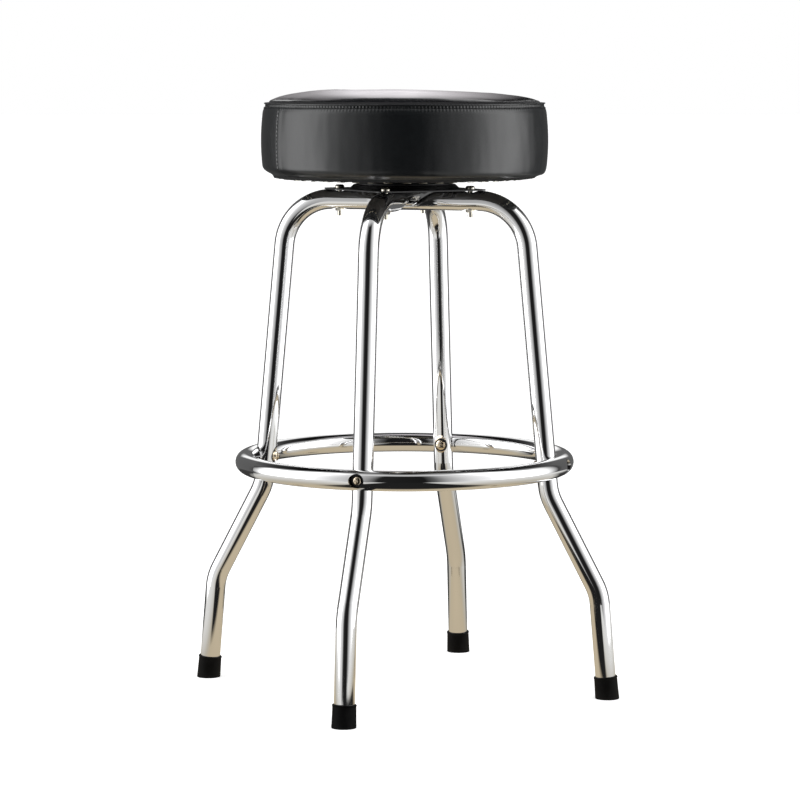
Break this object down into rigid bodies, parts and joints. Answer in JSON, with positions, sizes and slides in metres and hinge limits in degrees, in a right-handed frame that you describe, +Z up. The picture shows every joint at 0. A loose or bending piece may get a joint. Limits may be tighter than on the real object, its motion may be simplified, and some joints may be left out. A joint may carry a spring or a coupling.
{
  "type": "guitar stool",
  "caption": "Round padded stool for a seated guitarist: the seat swivels on two crossed, bent chrome tube legs with a foot ring and rubber caps.",
  "frame": {"origin": "on the floor, on the seat's swivel axis", "axes": "+Z up along the swivel axis, +X towards the right leg, -Y towards the front leg"},
  "size_m": [0.5596, 0.5596, 0.761],
  "materials": {
    "chrome": "polished chrome plate",
    "cap_rubber": "matte black moulded rubber",
    "black_steel": "black powder coat, satin",
    "zinc": "bright zinc plate",
    "cage_plastic": "plain",
    "ball_steel": "ground steel",
    "plywood": "plywood stained black",
    "foam": "open-cell foam",
    "vinyl_top": "glossy black vinyl",
    "vinyl_side": "satin black vinyl"
  },
  "bodies": {
    "frame": {"leg_frame_left_right": "chrome", "leg_frame_front_back": "chrome", "foot_ring": "chrome", "foot_cap_right": "cap_rubber", "foot_cap_back": "cap_rubber", "foot_cap_left": "cap_rubber", "foot_cap_front": "cap_rubber", "swivel_lower_plate": "black_steel", "swivel_rivet": "black_steel", "frame_bolts": "zinc", "frame_nuts": "zinc", "ring_bolts": "zinc", "ring_nuts": "zinc"},
    "race": {"ball_cage": "cage_plastic", "swivel_balls": "ball_steel"},
    "seat": {"swivel_upper_plate": "black_steel", "board_screws": "zinc", "seat_board": "plywood", "seat_foam": "foam", "seat_top_panel": "vinyl_top", "seat_side_band": "vinyl_side", "seat_seam_rim": "vinyl_side"}
  },
  "joints": [
    {"name": "seat_swivel", "type": "hinge", "parent": "frame", "child": "seat", "pos_m": [0, 0, 0.6425], "axis": [0, 0, 1], "continuous": true},
    {"name": "ball_race_turn", "type": "hinge", "parent": "frame", "child": "race", "pos_m": [0, 0, 0.6425], "axis": [0, 0, 1], "continuous": true}
  ],
  "couplings": [
    {"joint": "ball_race_turn", "follows": "seat_swivel", "ratio": 0.5}
  ]
}
